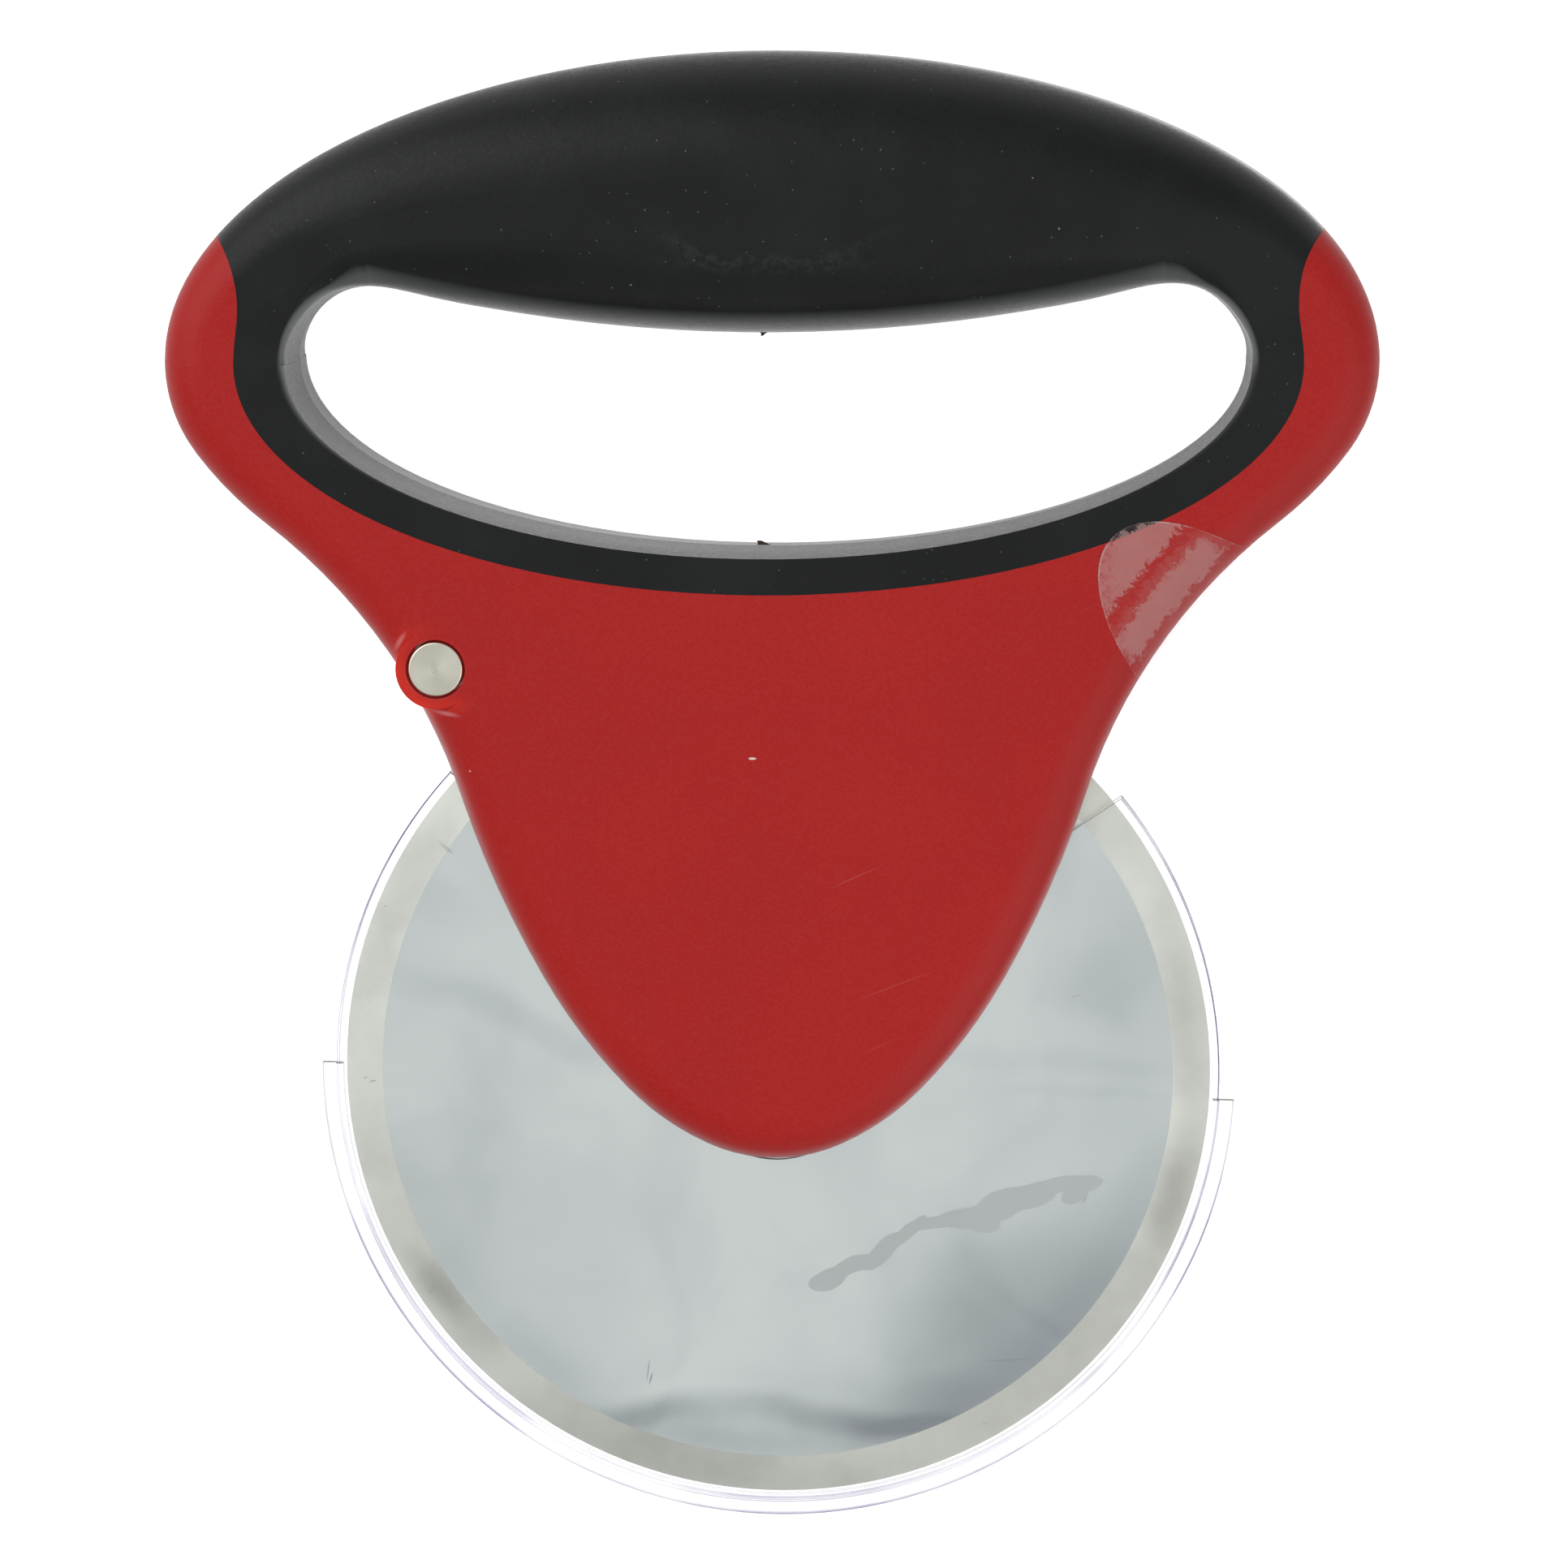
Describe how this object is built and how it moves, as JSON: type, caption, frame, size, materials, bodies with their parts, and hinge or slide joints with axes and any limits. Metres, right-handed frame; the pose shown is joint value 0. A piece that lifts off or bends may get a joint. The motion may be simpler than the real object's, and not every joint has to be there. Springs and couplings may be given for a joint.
{
  "type": "pizza cutter wheel",
  "caption": "Palm-held pizza cutter: steel rolling blade in a red shield under a black loop grip, with a swing-open rear cover and a clear blade guard.",
  "frame": {"origin": "centre of the bounding box's bottom face, the tool lying on its back", "axes": "+X to the right seen from the front, +Y from the blade to the grip, +Z out of the front face"},
  "size_m": [0.1398, 0.1726, 0.0248],
  "materials": {
    "red_shell": "fine moulded grain, satin",
    "soft_grip": "fine matte grain",
    "turned_steel": "turned",
    "spring_wire": "drawn wire",
    "blade_steel": "polished faces with a ground edge band",
    "nylon": "natural",
    "clear_guard": "clear, glossy"
  },
  "bodies": {
    "handle": {"front_frame": "red_shell", "rear_frame": "red_shell", "grip_overmold": "soft_grip", "wheel_axle": "turned_steel", "pivot_sleeve": "turned_steel", "pivot_washer": "turned_steel", "pivot_screw": "turned_steel", "button_spring": "spring_wire"},
    "button": {"release_button": "turned_steel", "lock_pin": "turned_steel"},
    "cover": {"rear_cover": "red_shell"},
    "wheel": {"cutting_wheel": "blade_steel", "wheel_hub_front": "nylon", "wheel_hub_rear": "nylon"},
    "guard": {"guard_front_shell": "clear_guard", "guard_rear_shell": "clear_guard"}
  },
  "joints": [
    {"name": "wheel_spin", "type": "hinge", "parent": "handle", "child": "wheel", "pos_m": [0, -0.0326, 0.0124], "axis": [0, 0, 1], "continuous": true},
    {"name": "cover_swing", "type": "hinge", "parent": "handle", "child": "cover", "pos_m": [-0.0385, 0.0159, 0.0124], "axis": [0, 0, 1], "range_deg": [-90, 0]},
    {"name": "button_press", "type": "slide", "parent": "handle", "child": "button", "axis": [0, 0, -1], "range_m": [0, 0.0016], "stiffness_N_per_m": 800, "springref_m": -0.002, "deforming": ["button_spring"]},
    {"name": "guard_slide", "type": "slide", "parent": "handle", "child": "guard", "axis": [0, -1, 0], "range_m": [0, 0.09]}
  ]
}
